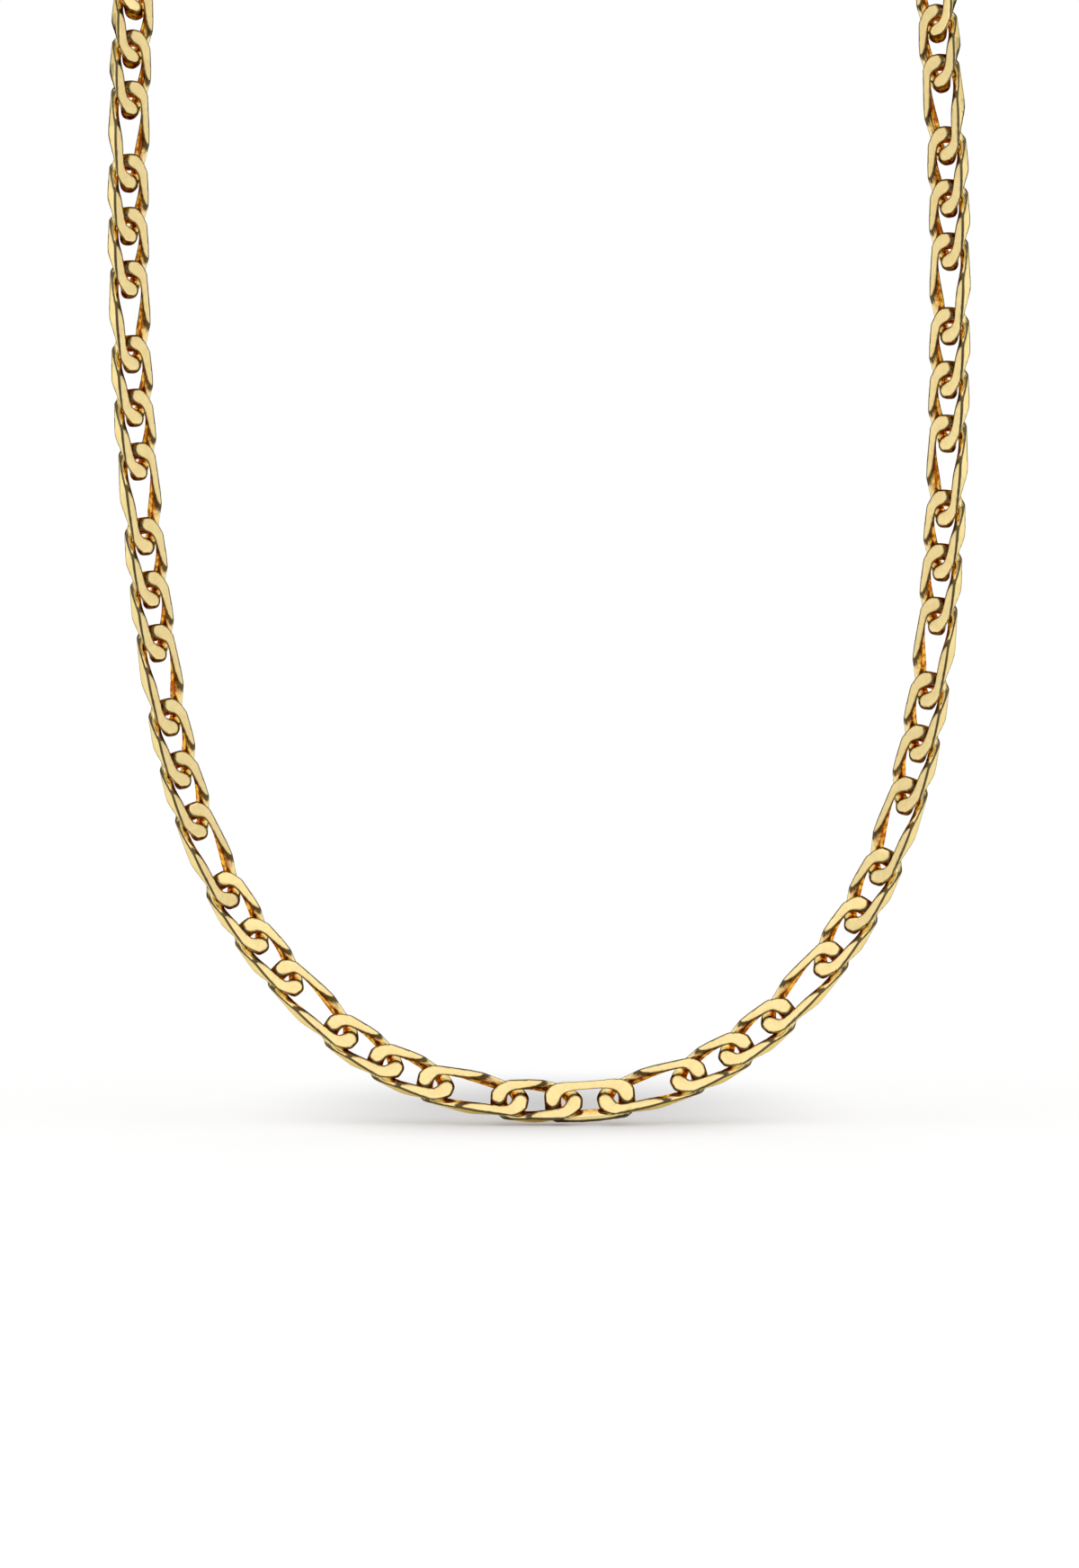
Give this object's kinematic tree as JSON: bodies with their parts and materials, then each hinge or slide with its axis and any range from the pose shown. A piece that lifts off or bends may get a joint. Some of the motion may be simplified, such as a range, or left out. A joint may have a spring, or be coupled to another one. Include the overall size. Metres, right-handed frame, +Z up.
{
  "type": "figaro neck chain",
  "caption": "Closed figaro neck chain of twisted oval links, short and long in turn, cut flat on the face, back and sides. It hangs as worn, with a plain clasp at the nape.",
  "frame": {"origin": "middle of the wearer's neck, 37 mm below the top of the chain at the nape", "axes": "+Z up along the neck, -Y to the front of the wearer, +X to the right of a viewer in front"},
  "size_m": [0.1215, 0.0786, 0.1988],
  "materials": {
    "gold": "polished yellow gold, flats diamond cut"
  },
  "bodies": {
    "root": {"left_chain": "gold", "centre_link": "gold", "right_chain": "gold", "left_jump_ring": "gold", "right_jump_ring": "gold", "clasp": "gold"}
  },
  "joints": []
}
